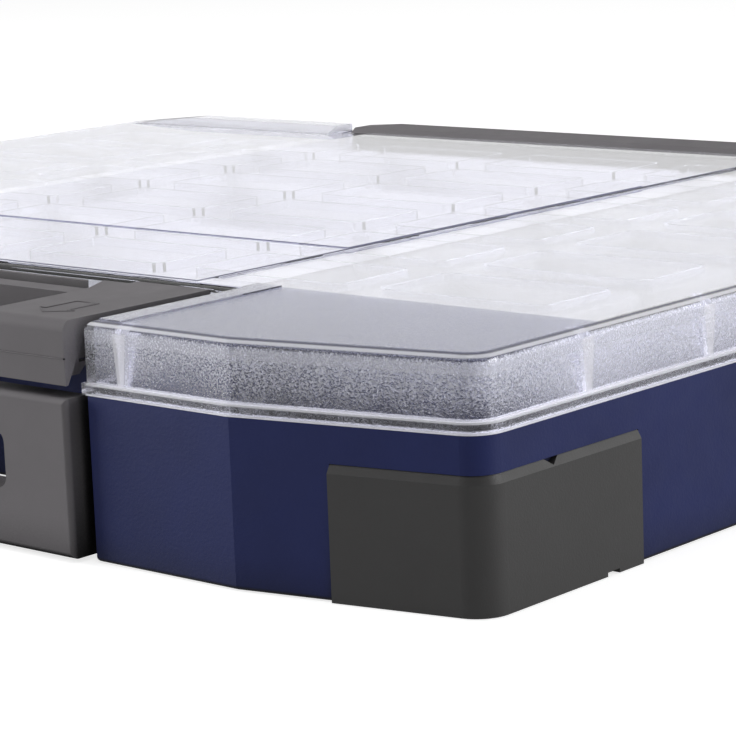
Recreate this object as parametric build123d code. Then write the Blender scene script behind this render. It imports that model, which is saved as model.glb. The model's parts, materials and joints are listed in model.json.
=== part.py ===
from build123d import *
from math import cos, pi, sin
import os

# Flat carry case for small parts: navy tray, clear hinged lid, grey latch, grip and corner guards.
# Millimetres. X runs along the front, Y to the back, Z up. The origin is the middle of the underside.

# Overall size and the levels of the main faces
case_width = 413.0
case_depth = 330.0
lid_top_z = 57.0
parting_z = 39.5

# Joined forms run into each other by merge, and a cutter runs past a face by past or by skim
merge = 0.5
past = 1.0
skim = 0.1

# Plan outline of the lid rim
notch_half = 98.6
notch_depth = 47.5
grip_proud = 3.1
facet_length = 62.3
corner_setback = 12.8
corner_radius = 8.0
least_radius = 1.5
hinge_radius = 4.0
pin_to_rear_face = 1.0
hinge_notch_half = 98.6
hinge_notch_depth = 5.4

# Tray
base_inset = 0.9
base_wall = 2.6
floor_thickness = 2.6
lip_clearance = 0.5
lip_wall = 1.2
lip_height = 2.0
flange_height = 3.0
bottom_radius = 1.2

# Lid
parting_gap = 0.2
lid_wall_inset = 0.9
lid_wall = 2.0
lid_top_wall = 2.0
rim_height = 2.8
lid_edge_radius = 2.6
panel_side_gap = 13.2
panel_height = 0.55
panel_front_gap = 61.0
panel_rear_gap = 79.2
panel_extra = 0.3
notch_border = 10.2
border_height = 0.35
ridge_height = 2.6
ridge_inset = 1.9
ridge_depth = 8.0
ridge_slope = 6.0
ridge_end = 28.0
ridge_side_gap = 4.0
rib_top_width = 4.5
rib_foot_width = 2.2
rib_reach = 3.8
rib_foot_reach = 1.4
rib_tip_height = 2.0
front_rib_gap = 12.1
side_rib_front_gap = 38.1
side_rib_rear_gap = 39.5
side_rib_count = 6

# Insert field
columns = 6
rows = 6
field_side_gap = 20.11
field_front_gap = 14.5
field_rear_gap = 22.5
insert_gap = 0.6
insert_wall = 1.1
insert_height = 49.4
insert_corner = 5.0
insert_draft = 1.0
insert_flat_count = 3
field_clearance = 0.4
field_wall = 1.6
field_wall_height = 27.0
front_wall_height = 33.0
frame_gap_x = 10.63
frame_gap_y = 11.5
frame_wall = 1.2
frame_corner = 2.5
frame_flat_count = 1
frame_clearance = 0.6

# Corner guards
guard_width = 37.7
guard_side_length = 55.8
guard_height = 30.8
guard_chamfer_z = 1.9
guard_chamfer_angle = 30.0
guard_thickness = 2.0
guard_clearance = 0.1
guard_foot_height = 1.4
guard_foot_reach = 9.0
guard_notch_y = 23.8
guard_notch_half = 2.6
guard_notch_depth = 1.6
guard_slot_y = 44.4
guard_slot_half = 2.2
guard_slot_height = 1.0

# Grip bar in the front notch
grip_side_gap = 2.6
grip_bottom_z = 0.8
grip_top_z = 38.8
grip_thickness = 8.5
grip_edge_radius = 1.4
window_side = 22.0
window_bottom_z = 15.0
window_top_z = 29.0
window_corner = 3.0
pocket_depth = 6.0
pocket_margin = 2.4
pocket_rib = 1.8
pockets_per_row = 6
arm_thickness = 3.6
arm_inset = 0.5
arm_bottom_z = 4.0
arm_top_z = 33.0
arm_foot_width = 13.6
arm_foot_thickness = 2.8

# Latch cover on the lid
cover_side_gap = 2.7
cover_setback = 0.7
cover_bottom_z = 41.85
cover_rear_gap = 1.2
cover_wall = 2.4
cover_edge_radius = 2.6
cheek_bottom_z = 47.6
cheek_start = 0.8
cheek_front = 3.9
seam_z = 48.0
seam_size = 0.35
hand_side = 28.9
hand_front_offset = 6.8
hand_rear_offset = 30.3
collar_wall = 2.0
collar_depth = 10.0

# Sliding release bar in the latch cover
release_travel = 3.0
release_gap = 0.6
release_end_gap = 1.0
release_top_drop = 0.3
release_bar_depth = 6.0
release_narrowing = 10.8
release_depth = 15.6
groove_depth = 3.3
groove_slope = 0.8
release_lip = 1.4
release_plate = 2.2
release_bar_drop = 9.7
rear_slot_side = 4.0
window_run = 10.0
tongue_reach = 9.5
tongue_depth = 7.0
tongue_height = 2.0
tongue_root = 4.0
tongue_setback = 0.8
rail_wall = 1.4
rail_ledge = 5.0
rail_clearance = 0.4
rail_end_inset = 1.0
spring_length = 9.0
spring_coil_radius = 1.3
spring_wire_radius = 0.3
spring_turn_count = 4
spring_point_count = 6
spring_wire_side_count = 5
spring_end_gap = 0.1
spring_side_gap = 0.5
hook_inset = 20.0
hook_width = 14.0
hook_bottom_z = 33.0
hook_thickness = 2.4
hook_nose = 3.2
hook_nose_height = 3.0
keeper_clearance = 1.0
keeper_reach = 3.5
keeper_thickness = 2.5
keeper_drop = 0.7
keeper_margin = 2.0

# Pins that hold the latch cover to the lid
cover_pin_radius = 1.8
cover_pin_fit = 0.05
cover_pin_z = 50.0
cover_pin_offsets = (13.0, 40.0)
cover_pin_inside = 2.0

# Hinge
pin_radius = 1.6
pin_drop = 1.5
pin_fit = 0.05
pin_running = 0.1
hinge_side_gap = 2.6
knuckle_gap = 0.5
end_knuckle = 12.0
side_knuckle = 14.0
side_knuckle_inset = 32.0
middle_knuckle_half = 14.0
sweep_clearance = 6.2
hinge_bottom_z = 0.8
strip_height = 2.9
strip_front_height = 1.7
strip_overlap = 1.7
strip_slope = 2.4
strip_end_length = 17.0
strip_end_drop = 1.2
hinge_wall = 2.6
hinge_edge = 1.0
hinge_roof_drop = 2.5
knuckle_root = 2.0
pin_end_inset = 1.0
hinge_pocket_depth = 5.0

# Screws, with the small round forms drawn as prisms
stud_side_count = 12
screw_radius = 1.5
screw_fit = 0.05
screw_head_radius = 3.0
screw_head_height = 1.8
screw_length = 9.0
boss_wall = 1.8
boss_end_wall = 1.0
grip_screw_inset = 8.5
grip_screw_zs = (10.0, 27.0)
hinge_screw_inset = 22.0
hinge_screw_z = 20.0

# Places that follow from the sizes above
side_x = case_width / 2
facet_half = side_x - facet_length
grip_face_y = -case_depth / 2
case_front_y = grip_face_y + grip_proud
notch_y = case_front_y + notch_depth
corner_y = case_front_y + corner_setback
pin_y = case_depth / 2 - hinge_radius
pin_z = parting_z - pin_drop
rear_y = pin_y + pin_to_rear_face
hinge_notch_y = rear_y - hinge_notch_depth
base_inner = base_inset + base_wall
lid_inner = lid_wall_inset + lid_wall
lip_outer = lid_inner + lip_clearance
lip_inner = lip_outer + lip_wall
lid_bottom_z = parting_z + parting_gap
lid_ceiling_z = lid_top_z - lid_top_wall
field_half_x = side_x - field_side_gap
field_front_y = notch_y + field_front_gap
field_rear_y = hinge_notch_y - field_rear_gap
cell_x = 2 * field_half_x / columns
cell_y = (field_rear_y - field_front_y) / rows
frame_x = cell_x - frame_gap_x
frame_y = cell_y - frame_gap_y
panel_half = notch_half - panel_side_gap
panel_front_y = notch_y + panel_front_gap
panel_rear_y = hinge_notch_y - panel_rear_gap
front_rib_x = notch_half + front_rib_gap
side_rib_first_y = corner_y + side_rib_front_gap
side_rib_pitch = (rear_y - side_rib_rear_gap - side_rib_first_y) / (side_rib_count - 1)
guard_from_x = side_x - guard_width
grip_half = notch_half - grip_side_gap
window_half = grip_half - window_side
cover_half = notch_half - cover_side_gap
hand_half = cover_half - hand_side
release_rear_half = hand_half - release_narrowing
rear_slot_half = hand_half + rear_slot_side
hook_x = hand_half - hook_inset
hinge_half = hinge_notch_half - hinge_side_gap
hinge_screw_reach = hinge_half - hinge_screw_inset
hinge_screw_xs = [hinge_screw_reach * part for part in (-1, -1 / 3, 1 / 3, 1)]
insert_top_z = floor_thickness + insert_height
base_notch_wall_y = notch_y + base_inset
cover_front_y = grip_face_y + cover_setback
cover_rear_y = notch_y - cover_rear_gap
hand_front_y = cover_front_y + hand_front_offset
hand_rear_y = cover_front_y + hand_rear_offset
release_rear_y = hand_rear_y + release_depth
release_top_z = lid_top_z - release_top_drop
plate_bottom_z = release_top_z - groove_depth - release_plate
grip_rear_y = grip_face_y + grip_thickness
release_half = hand_half - release_end_gap
tongue_end_x = release_half + tongue_reach
tongue_front_y = hand_rear_y + release_travel + tongue_setback
ledge_top = plate_bottom_z - rail_clearance
boss_half = screw_radius + boss_wall


def block(x0, x1, y0, y1, z0, z1):
    """A box between two corners."""
    return Pos((x0 + x1) / 2, (y0 + y1) / 2, (z0 + z1) / 2) * Box(x1 - x0, y1 - y0, z1 - z0)


def both_sides(solid):
    """The solid and its mirror image across the middle of the case."""
    return [solid, mirror(solid, about=Plane.YZ)]


def along_x(points, x0, x1):
    """A profile of (y, z) points, carried along X from x0 to x1."""
    face = make_face(Polyline(*[(x0, y, z) for y, z in points], close=True))
    return extrude(face, amount=x1 - x0, dir=(1, 0, 0))


def rod_x(radius, x0, x1, y, z):
    return Pos((x0 + x1) / 2, y, z) * Rot(0, 90, 0) * Cylinder(radius, x1 - x0)


def stud(radius, length):
    """A short round piece of few facets along Z, centred on the origin."""
    face = RegularPolygon(radius, stud_side_count)
    return Pos(0, 0, -length / 2) * extrude(face, amount=length)


def stud_x(radius, x0, x1, y, z):
    return Pos((x0 + x1) / 2, y, z) * Rot(0, 90, 0) * stud(radius, x1 - x0)


def stud_y(radius, y0, y1, x, z):
    return Pos(x, (y0 + y1) / 2, z) * Rot(90, 0, 0) * stud(radius, y1 - y0)


def flat_cornered(size_x, size_y, corner, flats):
    """A rectangle with each corner rounded in a few flats."""
    points = []
    for quarter, (side, end) in enumerate(((1, 1), (-1, 1), (-1, -1), (1, -1))):
        centre_x = side * (size_x / 2 - corner)
        centre_y = end * (size_y / 2 - corner)
        for step in range(flats + 1):
            angle = (quarter + step / flats) * pi / 2
            points.append((centre_x + corner * cos(angle), centre_y + corner * sin(angle)))
    return make_face(Polyline(*points, close=True))


def plan(inset):
    """Plan outline of the case with its front and rear notches, drawn in by an inset."""
    right = [
        (notch_half, notch_y),
        (notch_half, case_front_y),
        (facet_half, case_front_y),
        (side_x, corner_y),
        (side_x, rear_y),
        (hinge_notch_half, rear_y),
        (hinge_notch_half, hinge_notch_y),
    ]
    left = [(-x, y) for x, y in reversed(right)]
    outline = make_face(Polyline(*right, *left, close=True))
    if inset > 0:
        outline = offset(outline, -inset, kind=Kind.INTERSECTION)
    corners = [v for v in outline.vertices() if abs(v.X) > side_x - inset - merge]
    return fillet(corners, max(corner_radius - inset, least_radius))


def slab(inset, z0, z1):
    """The plan outline as a solid between two levels."""
    return Pos(0, 0, z0) * extrude(plan(inset), amount=z1 - z0)


def ring(outer_inset, inner_inset, z0, z1):
    return slab(outer_inset, z0, z1) - slab(inner_inset, z0 - past, z1 + past)


def guard_zone(side, end, top_z):
    """The box that one corner guard lies in: side is -1 or 1, end is -1 for the front corners."""
    if end < 0:
        y0, y1 = case_front_y - past, corner_y + guard_side_length
    else:
        y0, y1 = rear_y - guard_side_length, rear_y + past
    x0, x1 = sorted((side * guard_from_x, side * (side_x + past)))
    return block(x0, x1, y0, y1, -past, top_z)


def corner_guard(side, end):
    """A thick L-shaped cap round one lower corner, with a foot that reaches under the tray."""
    straight = guard_height - guard_chamfer_z
    skin = slab(0, 0, straight)
    skin += Pos(0, 0, straight) * extrude(plan(0), amount=guard_chamfer_z, taper=guard_chamfer_angle)
    skin -= slab(guard_thickness, guard_foot_height, guard_height + past)
    skin -= slab(guard_thickness + guard_foot_reach, -past, guard_height + past)
    skin = skin & guard_zone(side, end, guard_height + past)
    start_y = corner_y if end < 0 else rear_y
    notch_mid = start_y - end * guard_notch_y
    notch_at_top = [
        (notch_mid - guard_notch_half, guard_height + skim),
        (notch_mid, guard_height - guard_notch_depth),
        (notch_mid + guard_notch_half, guard_height + skim),
    ]
    x0, x1 = sorted((side * (side_x - guard_thickness - past), side * (side_x + past)))
    skin -= along_x(notch_at_top, x0, x1)
    slot_mid = start_y - end * guard_slot_y
    x0, x1 = sorted((side * (side_x - guard_thickness), side * (side_x + past)))
    skin -= block(x0, x1, slot_mid - guard_slot_half, slot_mid + guard_slot_half, -past, guard_slot_height)
    return skin


def grip_screw_places():
    x = grip_half - grip_screw_inset
    return [(sign * x, z) for sign in (-1, 1) for z in grip_screw_zs]


def base_tray():
    """The tray: notched shell, lip for the lid, walls round the insert field and two front pockets."""
    tray = slab(base_inset, 0, parting_z)
    foot = tray.edges().group_by(Axis.Z)[0]
    tray = fillet(foot, bottom_radius)
    tray -= slab(base_inner, floor_thickness, parting_z + past)
    tray += ring(base_inset, lip_inner, parting_z - flange_height, parting_z)
    tray += ring(lip_outer, lip_inner, parting_z - flange_height, parting_z + lip_height)
    wall_top = floor_thickness + field_wall_height
    x1 = field_half_x + field_clearance
    x2 = x1 + field_wall
    y0 = field_front_y - field_clearance
    y1 = field_rear_y + field_clearance
    low = floor_thickness - merge
    reach = side_x - base_inset - base_wall / 2
    tray += block(-reach, reach, y0 - field_wall, y0, low, floor_thickness + front_wall_height)
    tray += block(-x2, x2, y1, y1 + field_wall, low, wall_top)
    for wall in both_sides(block(x1, x2, y0 - field_wall, y1 + field_wall, low, wall_top)):
        tray += wall
    for index in range(1, side_rib_count):
        y = side_rib_first_y + index * side_rib_pitch
        web = block(x2 - merge, reach, y - field_wall / 2, y + field_wall / 2, low, wall_top)
        for piece in both_sides(web):
            tray += piece
    for column in range(1, columns):
        x = -field_half_x + column * cell_x
        rear_reach = hinge_notch_y - base_inset - base_wall / 2
        tray += block(x - field_wall / 2, x + field_wall / 2, y1 + merge, rear_reach, low, wall_top)
    for side in (-1, 1):
        for end in (-1, 1):
            recess = ring(0, guard_thickness + guard_clearance, -past, guard_height + guard_clearance)
            reach_in = guard_thickness + guard_foot_reach + guard_clearance
            recess += ring(0, reach_in, -past, guard_foot_height)
            tray -= recess & guard_zone(side, end, guard_height + guard_clearance)
    keeper_y = base_notch_wall_y - keeper_reach
    keeper_top = parting_z - keeper_drop
    keeper_half = hook_width / 2 + keeper_margin
    keeper = block(
        hook_x - keeper_half,
        hook_x + keeper_half,
        keeper_y,
        base_notch_wall_y + past,
        keeper_top - keeper_thickness,
        keeper_top,
    )
    for ledge in both_sides(keeper):
        tray += ledge
    boss_end = base_notch_wall_y + screw_length + boss_end_wall
    for x, z in grip_screw_places():
        tray += block(
            x - boss_half, x + boss_half, base_notch_wall_y + merge, boss_end, z - boss_half, z + boss_half
        )
    for x, z in grip_screw_places():
        tray -= stud_y(screw_radius + screw_fit, base_notch_wall_y - past, boss_end - boss_end_wall, x, z)
    hinge_wall_y = hinge_notch_y - base_inset
    for x in hinge_screw_xs:
        tray += block(
            x - boss_half,
            x + boss_half,
            hinge_wall_y - screw_length,
            hinge_wall_y - merge,
            hinge_screw_z - boss_half,
            hinge_screw_z + boss_half,
        )
    for x in hinge_screw_xs:
        tray -= stud_y(
            screw_radius + screw_fit,
            hinge_wall_y - screw_length + boss_end_wall,
            hinge_wall_y + past,
            x,
            hinge_screw_z,
        )
    return tray


def lid_rib(x, y, direction):
    """A tapering web inside a lid wall: wide at the top and narrow at the rim."""
    top = lid_ceiling_z + merge
    foot = lid_bottom_z + rim_height
    section = make_face(
        Polyline(
            (-rib_top_width / 2, 0, top),
            (rib_top_width / 2, 0, top),
            (rib_foot_width / 2, 0, foot),
            (-rib_foot_width / 2, 0, foot),
            close=True,
        )
    )
    web = extrude(section, amount=rib_reach, dir=(0, 1, 0))
    tip = rib_reach + skim
    lean = [(rib_foot_reach, foot - skim), (tip, foot - skim), (tip, top - rib_tip_height)]
    web -= along_x(lean, -rib_top_width, rib_top_width)
    return Pos(x, y, 0) * Rot(0, 0, direction) * web


def lid_shell():
    """The clear lid: one thin moulding with a raised panel, wall ribs and frames over the inserts."""
    lid = slab(lid_wall_inset, lid_bottom_z, lid_top_z)
    lid = fillet(lid.edges().group_by(Axis.Z)[-1], lid_edge_radius)
    lid += slab(0, lid_bottom_z, lid_bottom_z + rim_height)
    lid += lid_top_relief()
    lid -= slab(lid_inner, lid_bottom_z - past, lid_ceiling_z)
    wall_y = case_front_y + lid_inner - merge
    wall_x = side_x - lid_inner + merge
    for x in (-front_rib_x, front_rib_x):
        lid += lid_rib(x, wall_y, 0)
    for index in range(side_rib_count):
        y = side_rib_first_y + index * side_rib_pitch
        lid += lid_rib(wall_x, y, 90)
        lid += lid_rib(-wall_x, y, -90)
    lid += hold_down_frames()
    for offset_y in cover_pin_offsets:
        for hole in both_sides(cover_pin(offset_y, cover_pin_radius + cover_pin_fit)):
            lid -= hole
    return lid


def lid_top_relief():
    """Raised parts of the lid's top: border of the notch, centre panel and rear stacking ridge."""
    low = lid_top_z - merge
    edge = lid_edge_radius + lid_wall_inset
    border_top = lid_top_z + border_height
    border_x = notch_half + notch_border
    border_y = notch_y + notch_border
    border = block(-border_x, border_x, case_front_y + edge, border_y, low, border_top)
    cut_x = notch_half + edge
    border -= block(-cut_x, cut_x, case_front_y, notch_y + edge, low - past, border_top + past)
    panel_top = lid_top_z + panel_height
    panel_end = hinge_notch_y - edge
    panel = block(-panel_half, panel_half, notch_y + notch_border / 2, panel_end, low, panel_top)
    middle = block(-panel_half, panel_half, panel_front_y, panel_rear_y, low, panel_top + panel_extra)
    ridge_rear = rear_y - ridge_inset
    ridge_foot = ridge_rear - ridge_depth - ridge_slope
    ridge_top = lid_top_z + ridge_height
    profile = [
        (ridge_foot, lid_ceiling_z),
        (ridge_foot, lid_top_z),
        (ridge_foot + ridge_slope, ridge_top),
        (ridge_rear, ridge_top),
        (ridge_rear, lid_ceiling_z),
    ]
    ridge_outer = side_x - edge - ridge_side_gap
    ridge = along_x(profile, hinge_notch_half + ridge_inset, ridge_outer)
    slope = make_face(
        Polyline(
            (ridge_outer - ridge_end, ridge_foot - past, ridge_top + skim),
            (ridge_outer + past, ridge_foot - past, ridge_top + skim),
            (ridge_outer + past, ridge_foot - past, lid_top_z),
            close=True,
        )
    )
    ridge -= extrude(slope, amount=ridge_depth + ridge_slope + 2 * past, dir=(0, 1, 0))
    relief = border + panel + middle
    for piece in both_sides(ridge):
        relief += piece
    return relief


def hold_down_frames():
    """Low rectangular frames under the lid, one over each cell, that keep small parts in their insert."""
    low = insert_top_z + frame_clearance
    high = lid_ceiling_z + merge
    wall = 2 * frame_wall
    outer = flat_cornered(frame_x, frame_y, frame_corner, frame_flat_count)
    inner = flat_cornered(frame_x - wall, frame_y - wall, frame_corner - frame_wall, frame_flat_count)
    frame = extrude(outer - inner, amount=high - low)
    placed = []
    for column in range(columns):
        for row in range(rows):
            x = (column + 0.5) * cell_x - field_half_x
            y = field_front_y + (row + 0.5) * cell_y
            placed.append(Pos(x, y, low) * frame)
    return placed


def insert(first_column, first_row, wide, deep):
    """An open bin with drafted walls that stands in the field over wide by deep cells."""
    x = (first_column + wide / 2) * cell_x - field_half_x
    y = field_front_y + (first_row + deep / 2) * cell_y
    size_x = wide * cell_x - insert_gap
    size_y = deep * cell_y - insert_gap
    rim = flat_cornered(size_x, size_y, insert_corner, insert_flat_count)
    outer = extrude(rim, amount=-insert_height, taper=insert_draft)
    wall = 2 * insert_wall
    mouth = flat_cornered(size_x - wall, size_y - wall, insert_corner - insert_wall, insert_flat_count)
    hollow = extrude(mouth, amount=-(insert_height - insert_wall), taper=insert_draft)
    return Pos(x, y, insert_top_z) * (outer - hollow)


def grip_arm():
    """The right arm that carries the grip bar, with its foot against the back of the notch."""
    outer_x = grip_half - arm_inset
    arm = block(
        outer_x - arm_thickness, outer_x, grip_rear_y - merge, base_notch_wall_y, arm_bottom_z, arm_top_z
    )
    foot_y = base_notch_wall_y - arm_foot_thickness
    arm += block(outer_x - arm_foot_width, outer_x, foot_y, base_notch_wall_y, arm_bottom_z, arm_top_z)
    return arm


def handle_grip():
    """The grip bar across the notch, with its long finger window, cored back and two arms."""
    bar = block(-grip_half, grip_half, grip_face_y, grip_rear_y, grip_bottom_z, grip_top_z)
    long_edges = bar.edges().filter_by(Axis.X)
    front_corners = bar.edges().group_by(Axis.Y)[0].filter_by(Axis.Z)
    bar = fillet(long_edges + front_corners, grip_edge_radius)
    middle_z = (window_bottom_z + window_top_z) / 2
    window = RectangleRounded(2 * window_half, window_top_z - window_bottom_z, window_corner)
    window = extrude(window, amount=grip_thickness + 2 * past)
    bar -= Pos(0, grip_face_y - past, middle_z) * Rot(-90, 0, 0) * window
    rows_z = (
        (grip_bottom_z + pocket_margin, window_bottom_z - pocket_margin),
        (window_top_z + pocket_margin, grip_top_z - pocket_margin),
    )
    span = 2 * (grip_half - arm_inset - arm_thickness - pocket_margin)
    pitch = (span + pocket_rib) / pockets_per_row
    for z0, z1 in rows_z:
        for index in range(pockets_per_row):
            x0 = -span / 2 + index * pitch
            x1 = x0 + pitch - pocket_rib
            bar -= block(x0, x1, grip_rear_y - pocket_depth, grip_rear_y + past, z0, z1)
    for arm in both_sides(grip_arm()):
        bar += arm
    for x, z in grip_screw_places():
        foot_y = base_notch_wall_y - arm_foot_thickness
        bar -= stud_y(screw_radius + screw_fit, foot_y - past, base_notch_wall_y + past, x, z)
    return bar


def screw(head_y, direction, x, z):
    """A pan-head screw along Y: direction is 1 where its point is to the back."""
    y_head = sorted((head_y, head_y - direction * screw_head_height))
    y_shank = sorted((head_y - direction * merge, head_y + direction * screw_length))
    return stud_y(screw_head_radius, *y_head, x, z) + stud_y(screw_radius, *y_shank, x, z)


def cover_pin(offset_y, radius):
    """A pin on the right side, through the cheek of the latch cover into the side of the lid's notch."""
    x0 = cover_half - cover_wall - cover_pin_inside
    x1 = notch_half + lid_inner + cover_pin_inside
    return stud_x(radius, x0, x1, cover_front_y + offset_y, cover_pin_z)


def release_plan(grow, rear_grow):
    """Plan outline of the release bar: straight in front, narrowing to the back."""
    front_half = release_half + grow
    waist_y = hand_rear_y + release_bar_depth
    rear = release_rear_y + rear_grow
    rear_half = release_rear_half + grow
    points = [(front_half, hand_rear_y - past), (front_half, waist_y), (rear_half, rear)]
    return make_face(Polyline(*points, *[(-x, y) for x, y in reversed(points)], close=True))


def latch_cover():
    """The hollow cover over the notch: skirt, cheeks, hand hole and the guides of the release bar."""
    z1 = lid_top_z
    cover = block(-cover_half, cover_half, cover_front_y, cover_rear_y, cover_bottom_z, z1)
    front_top = cover.edges().filter_by(Axis.X).group_by(Axis.Z)[-1].sort_by(Axis.Y)[0]
    cover = fillet(front_top, cover_edge_radius)
    cover -= block(
        cover_wall - cover_half,
        cover_half - cover_wall,
        cover_front_y + cover_wall,
        cover_rear_y + past,
        cover_bottom_z - past,
        z1 - cover_wall,
    )
    lean = [
        (cover_front_y + cheek_start, cover_bottom_z - past),
        (cover_front_y + cheek_start, cover_bottom_z),
        (cover_front_y + cheek_front, cheek_bottom_z),
        (cover_rear_y + past, cheek_bottom_z),
        (cover_rear_y + past, cover_bottom_z - past),
    ]
    end_x = cover_half + past
    cover -= along_x(lean, -end_x, end_x)
    cover -= block(
        -end_x, end_x, cover_front_y - past, cover_front_y + seam_size, seam_z, seam_z + seam_size
    )
    collar_x = hand_half + collar_wall
    collar_y = hand_front_y - collar_wall
    collar_end = hand_rear_y - release_gap
    cover += block(-collar_x, collar_x, collar_y, collar_end, z1 - collar_depth, z1 - cover_wall + merge)
    cover -= block(
        -hand_half, hand_half, hand_front_y, hand_rear_y + merge, z1 - collar_depth - past, z1 + past
    )
    window = extrude(release_plan(release_gap, window_run), amount=2 * collar_depth)
    cover -= Pos(0, 0, z1 - collar_depth) * window
    slot_z = z1 - cover_wall - past
    cover -= block(-rear_slot_half, rear_slot_half, release_rear_y, cover_rear_y + past, slot_z, z1 + past)
    for piece in both_sides(release_guide()):
        cover += piece
    for offset_y in cover_pin_offsets:
        for hole in both_sides(cover_pin(offset_y, cover_pin_radius + cover_pin_fit)):
            cover -= hole
    return cover


def release_guide():
    """On the right: the rail and ledge that the tongue slides on, and the stop behind its spring."""
    roof = lid_top_z - cover_wall + merge
    y0 = hand_rear_y + rail_clearance
    y1 = release_rear_y - rail_end_inset
    rail_x = tongue_end_x + rail_clearance
    guide = block(rail_x, rail_x + rail_wall, y0, y1, ledge_top - rail_wall, roof)
    guide += block(rail_x - rail_ledge, rail_x + rail_wall, y0, y1, ledge_top - rail_wall, ledge_top)
    stop_y = tongue_front_y - spring_length
    guide += block(rail_x - rail_ledge, rail_x + rail_wall, stop_y - rail_wall, stop_y, ledge_top, roof)
    return guide


def latch_release():
    """The release bar: finger groove, two tongues in the cover's rails and two hooks."""
    y0 = hand_rear_y
    y1 = y0 + release_bar_depth
    top = release_top_z
    groove_z = top - groove_depth
    lip_y = release_rear_y - release_lip
    profile = [
        (y0, top - release_bar_drop),
        (y0, top),
        (y1, top),
        (y1 + groove_slope, groove_z),
        (lip_y - groove_slope, groove_z),
        (lip_y, top),
        (release_rear_y, top),
        (release_rear_y, plate_bottom_z),
        (y0 + cover_wall, plate_bottom_z),
        (y0 + cover_wall, top - release_bar_drop),
    ]
    bar = along_x(profile, -hand_half, hand_half)
    bar = bar & extrude(release_plan(0, 0), amount=lid_top_z)
    tongue = block(
        release_rear_half - tongue_root,
        tongue_end_x,
        tongue_front_y,
        tongue_front_y + tongue_depth,
        plate_bottom_z,
        plate_bottom_z + tongue_height,
    )
    for piece in both_sides(tongue):
        bar += piece
    leg_rear = base_notch_wall_y - keeper_reach - keeper_clearance
    leg_y0 = leg_rear - hook_nose
    hook = [
        (leg_y0 - hook_thickness, plate_bottom_z + merge),
        (leg_y0, plate_bottom_z + merge),
        (leg_y0, hook_bottom_z + hook_nose_height),
        (leg_rear, hook_bottom_z + hook_nose_height),
        (leg_y0, hook_bottom_z),
        (leg_y0 - hook_thickness, hook_bottom_z),
    ]
    for leg in both_sides(along_x(hook, hook_x - hook_width / 2, hook_x + hook_width / 2)):
        bar += leg
    return bar


def release_springs():
    """Two small coil springs that push the release bar back to rest."""
    inset = spring_wire_radius + spring_end_gap
    x = tongue_end_x - spring_coil_radius - spring_wire_radius - spring_side_gap
    z = (ledge_top + lid_top_z - cover_wall) / 2
    height = spring_length - 2 * inset
    points = []
    for step in range(spring_turn_count * spring_point_count + 1):
        angle = 2 * pi * step / spring_point_count
        rise = height * step / (spring_turn_count * spring_point_count)
        points.append((spring_coil_radius * cos(angle), spring_coil_radius * sin(angle), rise))
    path = Polyline(*points)
    wire = RegularPolygon(spring_wire_radius, spring_wire_side_count)
    section = Plane(origin=path @ 0, z_dir=path % 0) * wire
    coil = sweep(section, path=path, transition=Transition.RIGHT)
    spring = Pos(x, tongue_front_y - inset, z) * Rot(90, 0, 0) * coil
    return both_sides(spring)


def base_knuckles():
    """The stretches of the pin that the tray's five knuckles hold."""
    inner = hinge_half - side_knuckle_inset
    return [
        (-hinge_half, -hinge_half + end_knuckle),
        (-inner, -inner + side_knuckle),
        (-middle_knuckle_half, middle_knuckle_half),
        (inner - side_knuckle, inner),
        (hinge_half - end_knuckle, hinge_half),
    ]


def lid_knuckles():
    """The stretches between the tray's knuckles, less a running gap at each end."""
    spans = []
    for left, right in zip(base_knuckles(), base_knuckles()[1:]):
        spans.append((left[1] + knuckle_gap, right[0] - knuckle_gap))
    return spans


def hinge_block():
    """The lower half of the hinge, screwed to the back of the tray, with its knuckles."""
    front_y = hinge_notch_y - base_inset
    back_y = pin_y + hinge_radius
    top_z = pin_z - sweep_clearance
    body = block(-hinge_half, hinge_half, front_y, back_y, hinge_bottom_z, top_z)
    body = fillet(body.edges().filter_by(Axis.X).group_by(Axis.Y)[-1], hinge_edge)
    for left, right in lid_knuckles():
        body -= block(
            left,
            right,
            back_y - hinge_pocket_depth,
            back_y + past,
            hinge_bottom_z + hinge_wall,
            top_z - hinge_wall,
        )
    for left, right in base_knuckles():
        body += block(left, right, pin_y - hinge_radius, back_y, top_z - hinge_edge, pin_z)
        body += rod_x(hinge_radius, left, right, pin_y, pin_z)
    body -= rod_x(pin_radius + pin_fit, -hinge_half - past, hinge_half + past, pin_y, pin_z)
    for x in hinge_screw_xs:
        body -= stud_y(screw_radius + screw_fit, front_y - past, back_y + past, x, hinge_screw_z)
    return body


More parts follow.
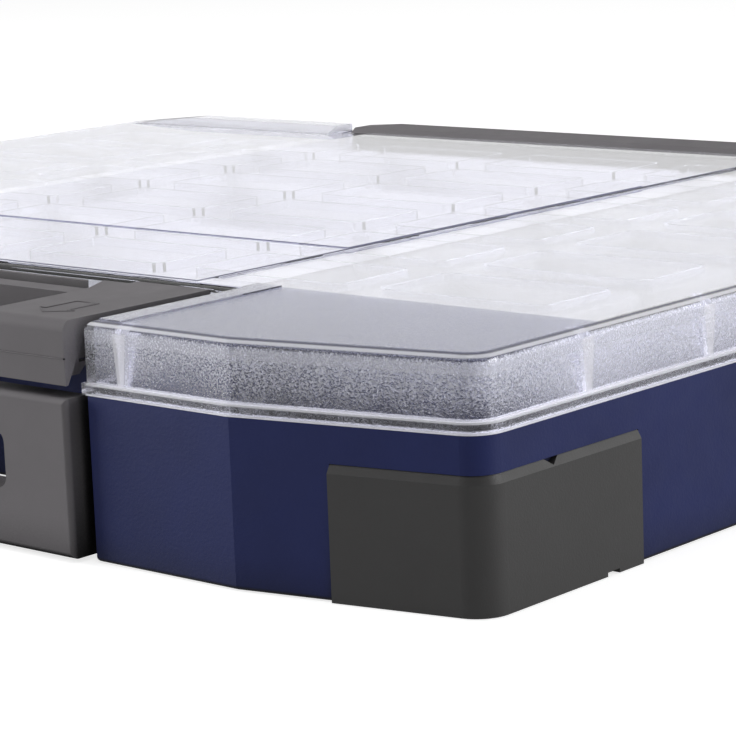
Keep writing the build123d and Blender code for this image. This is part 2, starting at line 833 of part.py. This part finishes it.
def hinge_cover():
    """The upper half of the hinge: a strip on the lid's rear edge, with knuckles round the pin."""
    front_y = hinge_notch_y - base_inset
    back_y = pin_y + hinge_radius
    top_z = lid_top_z + strip_height
    skirt_z = pin_z + sweep_clearance
    roof_z = lid_top_z - hinge_roof_drop
    foot_y = front_y - strip_overlap
    profile = [
        (foot_y, lid_top_z),
        (foot_y + strip_slope, lid_top_z + strip_front_height),
        (back_y - hinge_edge, top_z),
        (back_y, top_z - hinge_edge),
        (back_y, skirt_z),
        (back_y - hinge_wall, skirt_z),
        (back_y - hinge_wall, roof_z),
        (front_y + hinge_wall, roof_z),
        (front_y + hinge_wall, skirt_z),
        (front_y, skirt_z),
        (front_y, lid_top_z),
    ]
    strip = along_x(profile, -hinge_half, hinge_half)
    end = make_face(
        Polyline(
            (hinge_half - strip_end_length, foot_y - past, top_z + skim),
            (hinge_half + past, foot_y - past, top_z + skim),
            (hinge_half + past, foot_y - past, top_z - strip_end_drop),
            close=True,
        )
    )
    for wedge in both_sides(extrude(end, amount=back_y - foot_y + 2 * past, dir=(0, 1, 0))):
        strip -= wedge
    for left, right in lid_knuckles():
        strip += block(left, right, pin_y - hinge_radius, back_y, pin_z, skirt_z + knuckle_root)
        strip += rod_x(hinge_radius, left, right, pin_y, pin_z)
    strip -= rod_x(pin_radius + pin_running, -hinge_half - past, hinge_half + past, pin_y, pin_z)
    return strip


def save(name, shape):
    """Writes one named piece, or a group of like pieces, to its own file."""
    solids = shape if isinstance(shape, list) else [shape]
    found = [solid for item in solids for solid in item.solids()]
    export_step(found[0] if len(found) == 1 else Compound(children=found), f"parts/{name}.step")


os.makedirs("parts", exist_ok=True)
save("base_tray", base_tray())
save("corner_guard_front_left", corner_guard(-1, -1))
save("corner_guard_front_right", corner_guard(1, -1))
save("corner_guard_rear_left", corner_guard(-1, 1))
save("corner_guard_rear_right", corner_guard(1, 1))
save("lid_shell", lid_shell())
save("hinge_block", hinge_block())
save("hinge_cover", hinge_cover())
save("hinge_pin", rod_x(pin_radius, pin_end_inset - hinge_half, hinge_half - pin_end_inset, pin_y, pin_z))
save("handle_grip", handle_grip())
save("latch_cover", latch_cover())
save("latch_release", latch_release())
save("release_springs", release_springs())
save("cover_pins", [pin for y in cover_pin_offsets for pin in both_sides(cover_pin(y, cover_pin_radius))])
grip_head_y = base_notch_wall_y - arm_foot_thickness
save("grip_screws", [screw(grip_head_y, 1, x, z) for x, z in grip_screw_places()])
hinge_head_y = pin_y + hinge_radius - hinge_pocket_depth
save("hinge_screws", [screw(hinge_head_y, -1, x, hinge_screw_z) for x in hinge_screw_xs])

# Outer columns hold single inserts, the next ones doubles, and the middle the large ones
for row in range(rows):
    save(f"insert_small_left_{row + 1}", insert(0, row, 1, 1))
    save(f"insert_small_right_{row + 1}", insert(columns - 1, row, 1, 1))
for pair in range(rows // 2):
    save(f"insert_medium_left_{pair + 1}", insert(1, 2 * pair, 1, 2))
    save(f"insert_medium_right_{pair + 1}", insert(columns - 2, 2 * pair, 1, 2))
    save(f"insert_large_{pair + 1}", insert(2, 2 * pair, columns - 4, 2))
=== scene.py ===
import bpy
import json
import math
from mathutils import Matrix, Vector


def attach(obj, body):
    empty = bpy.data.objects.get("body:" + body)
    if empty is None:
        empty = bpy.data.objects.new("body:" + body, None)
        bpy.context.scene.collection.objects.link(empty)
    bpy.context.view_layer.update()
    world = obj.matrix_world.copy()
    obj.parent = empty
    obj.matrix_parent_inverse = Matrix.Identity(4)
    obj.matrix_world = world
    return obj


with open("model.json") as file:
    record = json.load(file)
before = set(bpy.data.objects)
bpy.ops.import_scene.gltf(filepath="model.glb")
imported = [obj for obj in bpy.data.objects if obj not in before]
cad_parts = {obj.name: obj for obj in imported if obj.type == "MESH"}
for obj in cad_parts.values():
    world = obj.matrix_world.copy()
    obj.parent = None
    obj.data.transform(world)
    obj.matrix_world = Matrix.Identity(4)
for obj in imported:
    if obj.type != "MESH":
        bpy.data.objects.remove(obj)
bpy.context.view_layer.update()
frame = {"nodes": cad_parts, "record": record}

scene = bpy.context.scene
nodes = frame["nodes"]

# Camera, fitted to the straight edges of the photograph. Metres, degrees, and millimetres for the lens.
CAMERA_AT = (0.56728, -0.59398, 0.16781)
CAMERA_AZIMUTH = 41.398
CAMERA_ELEVATION = 11.102
CAMERA_ROLL = -2.221
CAMERA_LENS = 137.8
SENSOR_WIDTH = 36.0
NEAR_CLIP = 0.01
FAR_CLIP = 50.0

# Levels and places that the details of the lid sit on, in metres
LID_TOP = 0.057
PANEL_FOOT = 0.0573
# Painted shade line along the upper edge of the wall, just above the painted highlight
PAINTED_SHADE_LINE_Z = 0.05678
# Painted highlight along the upper edge of the wall
PAINTED_HIGHLIGHT_Z = 0.05625
WALL_TOP = 0.0549
BAND_Z = 0.0522
RIM_TOP = 0.0425
# The rim's painted highlights lie at its top line and at its bottom
RIM_TOP_HIGHLIGHT_Z = 0.0424
RIM_BOTTOM = 0.0398
FROST_X = 0.1010
FROST_Y = -0.1045
CLEAR_EDGE_X = 0.0998
RIDGE_Y = 0.1440
RIDGE_Z = 0.0573

# Half widths of the lines on the lid, which are painted highlights and a painted shade line, and how softly
# a mask ends
PAINTED_HIGHLIGHT_HALF = 0.00042
PAINTED_SHADE_LINE_HALF = 0.00018
RIM_HIGHLIGHT_HALF = 0.0005
MASK_SOFTNESS = 0.0003

# Ribs in the wall: one on each side of the notch, and a row along each side
RIB_X = 0.1107
RIB_FRONT_Y = -0.1550
RIB_SIDE_X = 0.2020
RIB_Y = -0.1110
RIB_PITCH = 0.0467
RIB_FOOT_HALF = 0.0011
RIB_GROWTH = 0.0014

# A face counts as lying flat between these lengths of its upright normal
FLAT_FROM = 0.90
FLAT_TO = 0.97

# Colours, in linear light
NAVY = (0.017, 0.025, 0.112)
GREY = (0.188, 0.179, 0.188)
GUARD = (0.043, 0.042, 0.042)
CLEAR = (0.95, 0.953, 0.985)
FROST = (0.76, 0.765, 0.83)
POCKET = (0.36, 0.375, 0.54)
# Pale tint of the ribs and the ridge, and of the painted highlights
PALE_AND_HIGHLIGHT = (0.93, 0.93, 0.99)
PANEL = (0.70, 0.70, 0.79)
# Painted shade on the walls of the panel's step, for the dark line they show by refraction
STEP_SHADE = (0.40, 0.41, 0.60)
# Painted shade line along the upper edge of the wall
PAINTED_SHADE_LINE = (0.10, 0.10, 0.15)
MILK = (0.93, 0.932, 0.97)
STEEL = (0.56, 0.56, 0.58)
LID_SHADOW = (0.985, 0.985, 1.0)
FLOOR = (0.58, 0.58, 0.58)
WHITE = (1.0, 1.0, 1.0)

# How milky the parts of the clear lid are, from 0 for clear to 1 for opaque
POCKET_FROST = 0.60
BAND_MILK = 0.34
RIB_MILK = 0.62
# Painted highlights on the rim
RIM_HIGHLIGHT_MILK = 0.85
# Painted shade on the panel's step
STEP_SHADE_MILK = 0.50
# Painted highlight along the upper edge of the wall
PAINTED_HIGHLIGHT_MILK = 0.75
# Painted shade line along the upper edge of the wall
PAINTED_SHADE_LINE_MILK = 0.80
RIDGE_MILK = 0.45

# The sparkling grain of the frosted walls: its noise, and its level, which rises from the foot to the top
# as painted light
SPECK_SCALE = 2000.0
SPECK_FROM, SPECK_TO = 0.48, 0.59
CLOUD_SCALE = 45.0
CLOUD_FROM, CLOUD_TO = 0.35, 0.65
FOOT_LEVEL = 0.01
PAINTED_TOP_LIGHT = 0.38
CLOUD_LEVEL = 0.10
SPECK_GAIN = 1.9
SPECK_MOST = 0.85

# Gloss and grain of the lid
LID_IOR = 1.45
CLEAR_ROUGHNESS = 0.03
FROST_ROUGHNESS = 0.16
FROST_BUMP = 0.45
FROST_GRAIN_HEIGHT = 0.0003

# Moulded plastics: grain is the strength of the bump, drift the share by which the colour wanders, gloss
# the level of the specular part, and gap_shade_level the brightness that the painted shade leaves in a
# narrow gap
PLASTIC_IOR = 1.48
DRIFT_SCALE = 38.0
UNEVEN_SCALE = 160.0
GRAIN_HEIGHT = 0.0002
# Reach and limits of the painted shade in narrow gaps, taken from ambient occlusion
GAP_REACH = 0.022
GAP_CLOSED, GAP_OPEN = 0.26, 0.70
GAP_SAMPLES = 8
PLASTICS = {
    "navy_plastic": {
        "colour": NAVY, "roughness": 0.50, "grain": 0.26, "grain_scale": 1500.0,
        "drift": 0.10, "gloss": 0.24, "gap_shade_level": 0.05,
    },
    "grey_plastic": {
        "colour": GREY, "roughness": 0.62, "grain": 0.18, "grain_scale": 1800.0,
        "drift": 0.05, "gloss": 0.06, "gap_shade_level": 0.04,
    },
    "guard_plastic": {
        "colour": GUARD, "roughness": 0.42, "grain": 0.18, "grain_scale": 1900.0,
        "drift": 0.05, "gloss": 0.50,
    },
    "insert_plastic": {
        "colour": MILK, "roughness": 0.34, "grain": 0.06, "grain_scale": 700.0,
        "drift": 0.03, "gloss": 0.40,
    },
}

# Widths of the small bevels that catch the light, in metres
BEVEL_SEGMENTS = 2
BEVEL_ANGLE = 40.0
BEVELS = {
    "base_tray": 0.0003,
    "lid_shell": 0.00035,
    "handle_grip": 0.0004,
    "latch_cover": 0.0003,
    "latch_release": 0.0003,
    "hinge_cover": 0.0003,
    "hinge_block": 0.0003,
    "corner_guard_front_left": 0.0004,
    "corner_guard_front_right": 0.0004,
    "corner_guard_rear_left": 0.0004,
    "corner_guard_rear_right": 0.0004,
}

# Raised lines: the outline of a plain arrow to the front (its right one, in metres), the ring mark on the
# grip bar and the seam of the latch
LINE_RADIUS = 0.00022
LINE_RESOLUTION = 2
ARROW = (
    (0.0767, -0.1534),
    (0.0825, -0.1578),
    (0.0883, -0.1534),
    (0.0862, -0.1534),
    (0.0862, -0.1435),
    (0.0788, -0.1435),
    (0.0788, -0.1534),
)
MARK_X, MARK_Y, MARK_Z = 0.0837, -0.1649, 0.0068
MARK_RADIUS = 0.00205
MARK_LINE_RADIUS = 0.0001
MARK_STEPS = 24
SEAM_X, SEAM_Y, SEAM_Z = 0.0956, -0.16425, 0.0481

# Floor and surrounding: the floor's own glow and how much of it a glossy ray sees, the sky's level for the
# light on the object, and the side of the surrounding that is dim in reflections
FLOOR_HALF = 6.0
FLOOR_SINK = 0.0002
FLOOR_GLOW = 0.74
FLOOR_GLOSSY_SHARE = 0.3
SKY_LEVEL = 0.33
DIM_SIDE = (0.62, -0.76, 0.15)
DIM_LEVEL = 0.10
DIM_FROM, DIM_TO = 0.16, 0.72

# Softboxes: place, target, size and power in watts
LAMPS = {
    "left_box": ((-1.50, -0.66, 0.42), (0.05, -0.1, 0.03), (0.8, 0.8), 25.0),
    "right_box": ((1.45, 0.60, 0.45), (0.1, 0.0, 0.03), (0.9, 0.8), 9.5),
    "top_box": ((0.25, -0.25, 1.4), (0.05, -0.05, 0.0), (0.40, 0.40), 2.6),
}


def new_material(name):
    """An empty node material with its output."""
    mat = bpy.data.materials.new(name)
    mat.use_nodes = True
    tree = mat.node_tree
    tree.nodes.clear()
    out = tree.nodes.new("ShaderNodeOutputMaterial")
    return mat, tree, out


def noise(tree, scale, detail=3.0, roughness=0.5):
    """Noise in the part's own frame."""
    coord = tree.nodes.new("ShaderNodeTexCoord")
    node = tree.nodes.new("ShaderNodeTexNoise")
    node.inputs["Scale"].default_value = scale
    node.inputs["Detail"].default_value = detail
    node.inputs["Roughness"].default_value = roughness
    tree.links.new(coord.outputs["Object"], node.inputs["Vector"])
    return node.outputs["Fac"]


def ramp(tree, fac, low, high, colours):
    """Two colours or levels along a factor."""
    node = tree.nodes.new("ShaderNodeValToRGB")
    node.color_ramp.elements[0].position = low
    node.color_ramp.elements[1].position = high
    for element, colour in zip(node.color_ramp.elements, colours):
        element.color = (*colour, 1.0)
    tree.links.new(fac, node.inputs["Fac"])
    return node.outputs["Color"]


def bump(tree, height, strength, distance):
    """A bump whose strength is a number or a socket."""
    node = tree.nodes.new("ShaderNodeBump")
    node.inputs["Distance"].default_value = distance
    if isinstance(strength, float):
        node.inputs["Strength"].default_value = strength
    else:
        tree.links.new(strength, node.inputs["Strength"])
    tree.links.new(height, node.inputs["Height"])
    return node.outputs["Normal"]


def shaded(colour, amount):
    """The colour, lighter or darker."""
    return tuple(channel * amount for channel in colour)


def link_math(tree, kind, first, second):
    """A maths node on two sockets or numbers."""
    node = tree.nodes.new("ShaderNodeMath")
    node.operation = kind
    for socket, value in zip(node.inputs, (first, second)):
        if isinstance(value, (int, float)):
            socket.default_value = value
        else:
            tree.links.new(value, socket)
    return node.outputs["Value"]


def between(tree, value, low, high):
    """0 below low, 1 above high, and even in between."""
    node = tree.nodes.new("ShaderNodeMapRange")
    node.clamp = True
    node.inputs["From Min"].default_value = low
    node.inputs["From Max"].default_value = high
    tree.links.new(value, node.inputs["Value"])
    return node.outputs["Result"]


def painted_gap_shade(tree, dark):
    """Painted shade: 1 in the open, falling to dark in narrow gaps."""
    node = tree.nodes.new("ShaderNodeAmbientOcclusion")
    node.samples = GAP_SAMPLES
    node.inputs["Distance"].default_value = GAP_REACH
    open_part = between(tree, node.outputs["AO"], GAP_CLOSED, GAP_OPEN)
    return link_math(tree, "ADD", link_math(tree, "MULTIPLY", open_part, 1.0 - dark), dark)


def moulded_plastic(name, colour, roughness, grain, grain_scale, drift, gloss, gap_shade_level=None):
    """Grained moulded plastic: fine bump, slight colour drift, uneven gloss and, if given, painted shade in
    gaps.
    """
    mat, tree, out = new_material(name)
    shader = tree.nodes.new("ShaderNodeBsdfPrincipled")
    shader.inputs["IOR"].default_value = PLASTIC_IOR
    shader.inputs["Specular IOR Level"].default_value = gloss
    tones = (shaded(colour, 1.0 - drift), shaded(colour, 1.0 + drift))
    drifting = ramp(tree, noise(tree, DRIFT_SCALE, 4.0), 0.35, 0.68, tones)
    # Painted shade: the colour darkens in narrow gaps
    if gap_shade_level is not None:
        shade = tree.nodes.new("ShaderNodeVectorMath")
        shade.operation = "SCALE"
        tree.links.new(drifting, shade.inputs[0])
        tree.links.new(painted_gap_shade(tree, gap_shade_level), shade.inputs["Scale"])
        drifting = shade.outputs["Vector"]
    tree.links.new(drifting, shader.inputs["Base Color"])
    levels = ((roughness - 0.05,) * 3, (roughness + 0.06,) * 3)
    uneven = ramp(tree, noise(tree, UNEVEN_SCALE, 3.0), 0.3, 0.7, levels)
    tree.links.new(uneven, shader.inputs["Roughness"])
    fine = noise(tree, grain_scale, 2.0, 0.6)
    tree.links.new(bump(tree, fine, grain, GRAIN_HEIGHT), shader.inputs["Normal"])
    tree.links.new(shader.outputs["BSDF"], out.inputs["Surface"])
    return mat


class Masks:
    """Masks by place on the part, in one node tree. Each one is 1 inside and 0 outside."""

    def __init__(self, tree):
        self.tree = tree

    def maths(self, kind, first, second):
        return link_math(self.tree, kind, first, second)

    def above(self, value, edge):
        return between(self.tree, value, edge - MASK_SOFTNESS, edge + MASK_SOFTNESS)

    def below(self, value, edge):
        return self.inverse(self.above(value, edge))

    def inverse(self, mask):
        return self.maths("SUBTRACT", 1.0, mask)

    def size(self, value):
        return self.maths("ABSOLUTE", value, 0.0)

    def scaled(self, value, factor):
        return self.maths("MULTIPLY", value, factor)

    def line_at(self, value, centre, half_width):
        away = self.size(self.maths("SUBTRACT", value, centre))
        return self.inverse(between(self.tree, away, half_width * 0.5, half_width))

    def both(self, *masks):
        total = masks[0]
        for mask in masks[1:]:
            total = self.maths("MULTIPLY", total, mask)
        return total

    def either(self, *masks):
        total = masks[0]
        for mask in masks[1:]:
            total = self.maths("MAXIMUM", total, mask)
        return total


def lid_masks(tree, m):
    """The zones and lines of the lid, painted highlights and painted shade among them, and its height from
    the rim to the band.
    """
    coord = tree.nodes.new("ShaderNodeTexCoord")
    split = tree.nodes.new("ShaderNodeSeparateXYZ")
    tree.links.new(coord.outputs["Object"], split.inputs["Vector"])
    facing = tree.nodes.new("ShaderNodeSeparateXYZ")
    tree.links.new(coord.outputs["Normal"], facing.inputs["Vector"])
    y, z = split.outputs["Y"], split.outputs["Z"]
    across = m.size(split.outputs["X"])
    outer = m.above(across, CLEAR_EDGE_X)
    flat = between(tree, m.size(facing.outputs["Z"]), FLAT_FROM, FLAT_TO)

    # Ribs show through the wall as clear bars that taper to the foot
    rib_half = m.maths("ADD", m.scaled(between(tree, z, RIM_TOP, LID_TOP), RIB_GROWTH), RIB_FOOT_HALF)
    front_away = m.size(m.maths("SUBTRACT", across, RIB_X))
    side_away = m.maths("PINGPONG", m.maths("SUBTRACT", y, RIB_Y - RIB_PITCH), RIB_PITCH / 2)
    front_rib = m.both(m.below(m.maths("SUBTRACT", front_away, rib_half), 0.0), m.below(y, RIB_FRONT_Y))
    side_rib = m.both(m.below(m.maths("SUBTRACT", side_away, rib_half), 0.0), m.above(across, RIB_SIDE_X))

    wall = m.both(m.below(z, WALL_TOP), outer)
    panel = m.both(m.above(z, PANEL_FOOT), m.below(y, RIDGE_Y))
    return {
        "wall": wall,
        "band": m.both(wall, m.above(z, BAND_Z)),
        "pocket": m.both(m.above(across, FROST_X), m.below(y, FROST_Y), m.above(z, WALL_TOP), flat),
        "rib": m.both(m.either(front_rib, side_rib), m.above(z, RIM_TOP), m.below(z, WALL_TOP)),
        "panel": panel,
        # Painted shade on the walls of the panel's step
        "step": m.both(panel, m.inverse(flat)),
        # Painted highlight along the upper edge of the wall
        "painted_highlight": m.both(m.line_at(z, PAINTED_HIGHLIGHT_Z, PAINTED_HIGHLIGHT_HALF), outer),
        # Painted shade line along the upper edge of the wall, just above the painted highlight
        "groove": m.both(m.line_at(z, PAINTED_SHADE_LINE_Z, PAINTED_SHADE_LINE_HALF), outer),
        "ridge": m.both(m.above(y, RIDGE_Y), m.above(z, RIDGE_Z)),
        # Painted highlights along the top and bottom edges of the rim
        "edges": m.either(
            m.line_at(z, RIM_TOP_HIGHLIGHT_Z, RIM_HIGHLIGHT_HALF),
            m.line_at(z, RIM_BOTTOM, RIM_HIGHLIGHT_HALF),
        ),
        "height": between(tree, z, RIM_TOP, BAND_Z),
    }


def lid_milk(tree, m, zone, frosted, fine):
    """How milky the lid is: sparkling grain on the frosted zones, lighter towards the top as painted light,
    and the pale or dark lines, painted highlights and painted shade among them.
    """
    speck = between(tree, fine, SPECK_FROM, SPECK_TO)
    cloud = between(tree, noise(tree, CLOUD_SCALE, 2.0), CLOUD_FROM, CLOUD_TO)
    # Painted light: the grain's level rises with height, so the wall is lighter towards the top
    level = m.maths("ADD", m.scaled(zone["height"], PAINTED_TOP_LIGHT), FOOT_LEVEL)
    level = m.maths("ADD", level, m.scaled(cloud, CLOUD_LEVEL))
    grain = m.maths("MINIMUM", m.both(speck, level, SPECK_GAIN), SPECK_MOST)
    grain = m.either(
        grain,
        m.scaled(zone["band"], BAND_MILK),
        m.scaled(zone["rib"], RIB_MILK),
        m.scaled(zone["edges"], RIM_HIGHLIGHT_MILK),
    )
    return m.either(
        m.both(grain, frosted),
        m.scaled(zone["step"], STEP_SHADE_MILK),
        m.scaled(zone["painted_highlight"], PAINTED_HIGHLIGHT_MILK),
        m.scaled(zone["groove"], PAINTED_SHADE_LINE_MILK),
        m.scaled(zone["ridge"], RIDGE_MILK),
    )


def lid_colour(tree, m, zone):
    """The clear tint, with the zones laid over it one after another."""
    # Pale tint for the ribs and the ridge, and for the painted highlights
    pale = m.either(zone["rib"], zone["edges"], zone["painted_highlight"], zone["ridge"])
    layers = (
        (zone["wall"], FROST),
        (zone["pocket"], POCKET),
        (pale, PALE_AND_HIGHLIGHT),
        (zone["panel"], PANEL),
        # Painted shade on the step walls and on the line along the upper edge of the wall
        (zone["step"], STEP_SHADE),
        (zone["groove"], PAINTED_SHADE_LINE),
    )
    colour = None
    for mask, shade in layers:
        tint = tree.nodes.new("ShaderNodeMix")
        tint.data_type = "RGBA"
        tint.inputs["A"].default_value = (*CLEAR, 1.0)
        tint.inputs["B"].default_value = (*shade, 1.0)
        tree.links.new(mask, tint.inputs["Factor"])
        if colour is not None:
            tree.links.new(colour, tint.inputs["A"])
        colour = tint.outputs["Result"]
    return colour


def clear_plastic(name):
    """Clear plastic, frosted over the front pockets and on the walls, which lets the light through."""
    mat, tree, out = new_material(name)
    shader = tree.nodes.new("ShaderNodeBsdfPrincipled")
    shader.inputs["IOR"].default_value = LID_IOR
    m = Masks(tree)
    zone = lid_masks(tree, m)
    frosted = m.either(m.scaled(zone["pocket"], POCKET_FROST), zone["wall"])
    fine = noise(tree, SPECK_SCALE, 1.0, 0.6)
    clear_share = m.inverse(lid_milk(tree, m, zone, frosted, fine))
    tree.links.new(clear_share, shader.inputs["Transmission Weight"])
    rough = m.maths("ADD", m.scaled(frosted, FROST_ROUGHNESS), CLEAR_ROUGHNESS)
    tree.links.new(rough, shader.inputs["Roughness"])
    tree.links.new(lid_colour(tree, m, zone), shader.inputs["Base Color"])
    grained = bump(tree, fine, m.scaled(frosted, FROST_BUMP), FROST_GRAIN_HEIGHT)
    tree.links.new(grained, shader.inputs["Normal"])
    through = tree.nodes.new("ShaderNodeBsdfTransparent")
    through.inputs["Color"].default_value = (*LID_SHADOW, 1.0)
    path = tree.nodes.new("ShaderNodeLightPath")
    mix = tree.nodes.new("ShaderNodeMixShader")
    tree.links.new(path.outputs["Is Shadow Ray"], mix.inputs[0])
    tree.links.new(shader.outputs["BSDF"], mix.inputs[1])
    tree.links.new(through.outputs["BSDF"], mix.inputs[2])
    tree.links.new(mix.outputs["Shader"], out.inputs["Surface"])
    return mat


def steel(name):
    """Drawn steel with slight drift in tone and gloss."""
    mat, tree, out = new_material(name)
    shader = tree.nodes.new("ShaderNodeBsdfPrincipled")
    shader.inputs["Metallic"].default_value = 1.0
    drift = noise(tree, 420.0, 3.0)
    tone = ramp(tree, drift, 0.3, 0.7, (shaded(STEEL, 0.88), shaded(STEEL, 1.08)))
    tree.links.new(tone, shader.inputs["Base Color"])
    gloss = ramp(tree, drift, 0.3, 0.7, ((0.24,) * 3, (0.38,) * 3))
    tree.links.new(gloss, shader.inputs["Roughness"])
    tree.links.new(shader.outputs["BSDF"], out.inputs["Surface"])
    return mat


materials = {name: moulded_plastic(name, **settings) for name, settings in PLASTICS.items()}
materials["clear_plastic"] = clear_plastic("clear_plastic")
materials["steel"] = steel("steel")

# Every CAD node takes the material of its slot, and some take a small bevel
for entry in frame["record"]["subparts"]:
    obj = nodes[entry["node"]]
    obj.data.materials.clear()
    obj.data.materials.append(materials[entry["material_slot"]])
    width = BEVELS.get(entry["node"])
    if width:
        modifier = obj.modifiers.new("edge", "BEVEL")
        modifier.width = width
        modifier.segments = BEVEL_SEGMENTS
        modifier.limit_method = "ANGLE"
        modifier.angle_limit = math.radians(BEVEL_ANGLE)
        modifier.harden_normals = True


def bead(name, points, radius, closed, body, slot):
    """A thin raised line through the points, half sunk in its surface."""
    curve = bpy.data.curves.new(name, "CURVE")
    curve.dimensions = "3D"
    curve.bevel_depth = radius
    curve.bevel_resolution = LINE_RESOLUTION
    spline = curve.splines.new("POLY")
    spline.points.add(len(points) - 1)
    for point, place in zip(spline.points, points):
        point.co = (*place, 1.0)
    spline.use_cyclic_u = closed
    obj = bpy.data.objects.new(name, curve)
    curve.materials.append(materials[slot])
    scene.collection.objects.link(obj)
    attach(obj, body)


for side, label in ((1, "right"), (-1, "left")):
    arrow = [(side * x, y, LID_TOP) for x, y in ARROW]
    bead("latch_arrow_" + label, arrow, LINE_RADIUS, True, "lid", "grey_plastic")
    ring = []
    for count in range(MARK_STEPS):
        angle = count * math.tau / MARK_STEPS
        ring_x = side * MARK_X + MARK_RADIUS * math.cos(angle)
        ring.append((ring_x, MARK_Y, MARK_Z + MARK_RADIUS * math.sin(angle)))
    bead("grip_mark_" + label, ring, MARK_LINE_RADIUS, True, "case", "grey_plastic")
seam = [(-SEAM_X, SEAM_Y, SEAM_Z), (SEAM_X, SEAM_Y, SEAM_Z)]
bead("latch_seam", seam, LINE_RADIUS, False, "lid", "grey_plastic")


def seen_ray(tree, glossy_share):
    """1 for camera and transmission rays, and a share for glossy ones."""
    path = tree.nodes.new("ShaderNodeLightPath")
    glossy = link_math(tree, "MULTIPLY", path.outputs["Is Glossy Ray"], glossy_share)
    seen = link_math(tree, "MAXIMUM", path.outputs["Is Camera Ray"], glossy)
    return link_math(tree, "MAXIMUM", seen, path.outputs["Is Transmission Ray"])


def floor_material():
    """A plain pale floor with a glow that only a looking ray sees, so that it keeps the object's shadow."""
    mat, tree, out = new_material("floor")
    plain = tree.nodes.new("ShaderNodeBsdfDiffuse")
    plain.inputs["Color"].default_value = (*FLOOR, 1.0)
    glow = tree.nodes.new("ShaderNodeEmission")
    glow.inputs["Color"].default_value = (*WHITE, 1.0)
    glow.inputs["Strength"].default_value = FLOOR_GLOW
    unlit = tree.nodes.new("ShaderNodeEmission")
    unlit.inputs["Strength"].default_value = 0.0
    pick = tree.nodes.new("ShaderNodeMixShader")
    tree.links.new(seen_ray(tree, FLOOR_GLOSSY_SHARE), pick.inputs[0])
    tree.links.new(unlit.outputs[0], pick.inputs[1])
    tree.links.new(glow.outputs[0], pick.inputs[2])
    total = tree.nodes.new("ShaderNodeAddShader")
    tree.links.new(plain.outputs[0], total.inputs[0])
    tree.links.new(pick.outputs[0], total.inputs[1])
    tree.links.new(total.outputs[0], out.inputs["Surface"])
    return mat


corners = [(-FLOOR_HALF, -FLOOR_HALF, 0), (FLOOR_HALF, -FLOOR_HALF, 0)]
corners += [(FLOOR_HALF, FLOOR_HALF, 0), (-FLOOR_HALF, FLOOR_HALF, 0)]
floor_mesh = bpy.data.meshes.new("floor")
floor_mesh.from_pydata(corners, [], [(0, 1, 2, 3)])
floor = bpy.data.objects.new("floor", floor_mesh)
floor.location = (0, 0, -FLOOR_SINK)
scene.collection.objects.link(floor)
floor_mesh.materials.append(floor_material())


def background(tree, strength=1.0):
    """White light from all round."""
    node = tree.nodes.new("ShaderNodeBackground")
    node.inputs["Color"].default_value = (*WHITE, 1.0)
    node.inputs["Strength"].default_value = strength
    return node


def build_sky(tree):
    """White to look at, soft light on the object, and in reflections white with one dim side."""
    out = tree.nodes.new("ShaderNodeOutputWorld")
    coord = tree.nodes.new("ShaderNodeTexCoord")
    toward = tree.nodes.new("ShaderNodeVectorMath")
    toward.operation = "DOT_PRODUCT"
    toward.inputs[1].default_value = DIM_SIDE
    tree.links.new(coord.outputs["Generated"], toward.inputs[0])
    path = tree.nodes.new("ShaderNodeLightPath")
    looking = link_math(tree, "MAXIMUM", path.outputs["Is Camera Ray"], path.outputs["Is Transmission Ray"])
    mirrored = background(tree)
    dimming = ramp(tree, toward.outputs["Value"], DIM_FROM, DIM_TO, (WHITE, shaded(WHITE, DIM_LEVEL)))
    tree.links.new(dimming, mirrored.inputs["Color"])
    first = tree.nodes.new("ShaderNodeMixShader")
    tree.links.new(path.outputs["Is Glossy Ray"], first.inputs[0])
    tree.links.new(background(tree, SKY_LEVEL).outputs[0], first.inputs[1])
    tree.links.new(mirrored.outputs[0], first.inputs[2])
    pick = tree.nodes.new("ShaderNodeMixShader")
    tree.links.new(looking, pick.inputs[0])
    tree.links.new(first.outputs[0], pick.inputs[1])
    tree.links.new(background(tree).outputs[0], pick.inputs[2])
    tree.links.new(pick.outputs[0], out.inputs["Surface"])


world = bpy.data.worlds.new("studio")
scene.world = world
world.use_nodes = True
world.node_tree.nodes.clear()
build_sky(world.node_tree)


def softbox(name, place, target, size, power):
    """A rectangular lamp turned to its target."""
    lamp = bpy.data.lights.new(name, "AREA")
    lamp.shape = "RECTANGLE"
    lamp.size, lamp.size_y = size
    lamp.energy = power
    obj = bpy.data.objects.new(name, lamp)
    aim = Vector(target) - Vector(place)
    obj.location = place
    obj.rotation_euler = aim.to_track_quat("-Z", "Y").to_euler()
    scene.collection.objects.link(obj)


for name, settings in LAMPS.items():
    softbox(name, *settings)

# Camera
azimuth = math.radians(CAMERA_AZIMUTH)
elevation = math.radians(CAMERA_ELEVATION)
roll = math.radians(CAMERA_ROLL)
back = Vector((
    math.sin(azimuth) * math.cos(elevation),
    -math.cos(azimuth) * math.cos(elevation),
    math.sin(elevation),
))
right = Vector((math.cos(azimuth), math.sin(azimuth), 0.0))
up = back.cross(right)
rolled_right = right * math.cos(roll) + up * math.sin(roll)
rolled_up = up * math.cos(roll) - right * math.sin(roll)
camera_data = bpy.data.cameras.new("camera")
camera_data.lens = CAMERA_LENS
camera_data.sensor_width = SENSOR_WIDTH
camera_data.clip_start = NEAR_CLIP
camera_data.clip_end = FAR_CLIP
camera = bpy.data.objects.new("camera", camera_data)
turn = Matrix((rolled_right, rolled_up, back)).transposed().to_4x4()
camera.matrix_world = Matrix.Translation(CAMERA_AT) @ turn
scene.collection.objects.link(camera)
scene.camera = camera
scene.view_settings.view_transform = "Standard"
